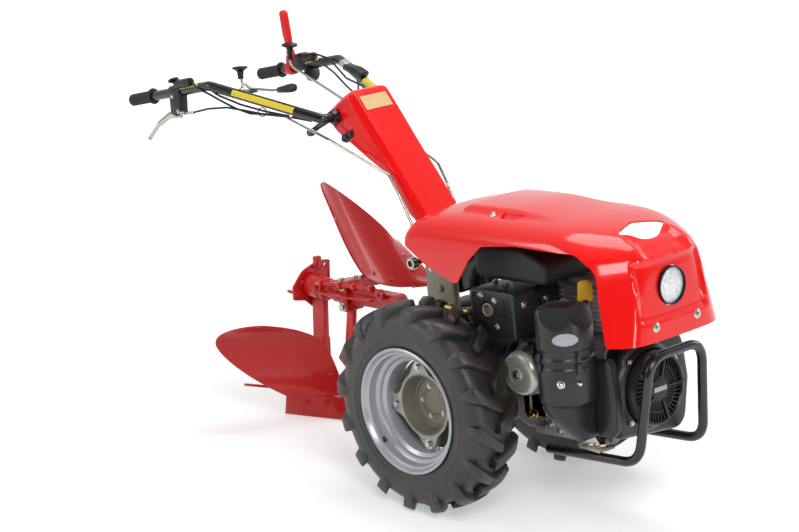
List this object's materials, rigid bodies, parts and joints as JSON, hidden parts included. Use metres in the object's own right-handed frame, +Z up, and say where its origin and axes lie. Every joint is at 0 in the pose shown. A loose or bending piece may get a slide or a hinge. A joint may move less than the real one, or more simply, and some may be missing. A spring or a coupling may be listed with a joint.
{
  "type": "walking tractor with reversible plough",
  "caption": "Two-wheel walking tractor with a hooded engine ahead of the axle, tall handlebars on a column, a bumper hoop and a quarter-turn reversible mouldboard plough behind.",
  "frame": {"origin": "middle of the bounding box at floor level, the tyres and the plough share standing on the floor", "axes": "+X forward along the machine, +Y to its left, +Z up"},
  "size_m": [1.858, 0.7338, 1.104],
  "materials": {
    "hood_red": "gloss",
    "plough_red": "satin",
    "black_steel": "gloss",
    "black_plastic": "satin",
    "engine_black": "satin",
    "grip_rubber": "matte",
    "tyre": "matte",
    "rim_silver": "satin",
    "disc_grey": "satin",
    "cast_aluminium": "cast",
    "case_iron": "painted",
    "cast_case": "cast, painted dark",
    "zinc": "zinc plated",
    "steel": "bright",
    "beige_plate": "satin",
    "lens": "clear, ribbed",
    "yellow": "gloss",
    "lever_red": "satin"
  },
  "bodies": {
    "tractor": {"gearbox": "cast_case", "clutch_housing": "cast_case", "crankcase": "cast_aluminium", "cylinder_head": "cast_aluminium", "blower_housing": "engine_black", "recoil_cover": "engine_black", "air_cleaner": "engine_black", "air_cleaner_base": "engine_black", "muffler": "engine_black", "starter_cover": "zinc", "fuel_tank": "black_plastic", "oil_filler_cap": "yellow", "engine_cradle": "beige_plate", "bumper": "black_steel", "column_turret": "beige_plate", "rear_hitch": "case_iron", "plough_beam": "plough_red", "headstock": "plough_red", "sector_plate": "plough_red", "coulter": "plough_red", "axle_housing_right": "cast_case", "axle_housing_left": "cast_case"},
    "wheel_right": {"tyre_right": "tyre", "rim_right": "rim_silver", "wheel_disc_right": "disc_grey", "half_shaft_right": "steel"},
    "wheel_left": {"tyre_left": "tyre", "rim_left": "rim_silver", "wheel_disc_left": "disc_grey", "half_shaft_left": "steel"},
    "bonnet": {"hood": "hood_red", "headlamp_bezel": "black_plastic", "headlamp_lens": "lens"},
    "steering_column": {"column_post": "black_steel", "column_cover": "hood_red", "bar_clamp": "black_steel", "handlebar_right": "black_steel", "handlebar_left": "black_steel", "grip_right": "grip_rubber", "grip_left": "grip_rubber", "lever_perch_right": "black_plastic", "lever_perch_left": "black_plastic", "control_rod_right": "steel", "control_rod_left": "steel", "brake_lever": "cast_aluminium", "safety_lever": "lever_red", "gear_knob": "black_plastic", "selector_lever": "black_plastic"},
    "plough_bodies": {"turning_hub": "plough_red", "mouldboard_lower": "plough_red", "share_lower": "plough_red", "leg_lower": "plough_red", "mouldboard_upper": "plough_red", "share_upper": "plough_red", "leg_upper": "plough_red"}
  },
  "joints": [
    {"name": "wheel_right_spin", "type": "hinge", "parent": "tractor", "child": "wheel_right", "pos_m": [0.29624, -0.29141, 0.28099], "axis": [0, 1, 0], "continuous": true},
    {"name": "wheel_left_spin", "type": "hinge", "parent": "tractor", "child": "wheel_left", "pos_m": [0.29624, 0.22859, 0.28099], "axis": [0, 1, 0], "continuous": true},
    {"name": "hood_tilt", "type": "hinge", "parent": "tractor", "child": "bonnet", "pos_m": [0.91067, -0.03141, 0.57724], "axis": [0, 1, 0], "range_deg": [0, 55]},
    {"name": "column_height", "type": "hinge", "parent": "tractor", "child": "steering_column", "pos_m": [0.17657, -0.03141, 0.53268], "axis": [0, 1, 0], "range_deg": [-14, 8]},
    {"name": "plough_turn", "type": "hinge", "parent": "tractor", "child": "plough_bodies", "pos_m": [-0.42286, -0.03141, 0.39358], "axis": [-1, 0, 0], "range_deg": [0, 85.5]}
  ]
}
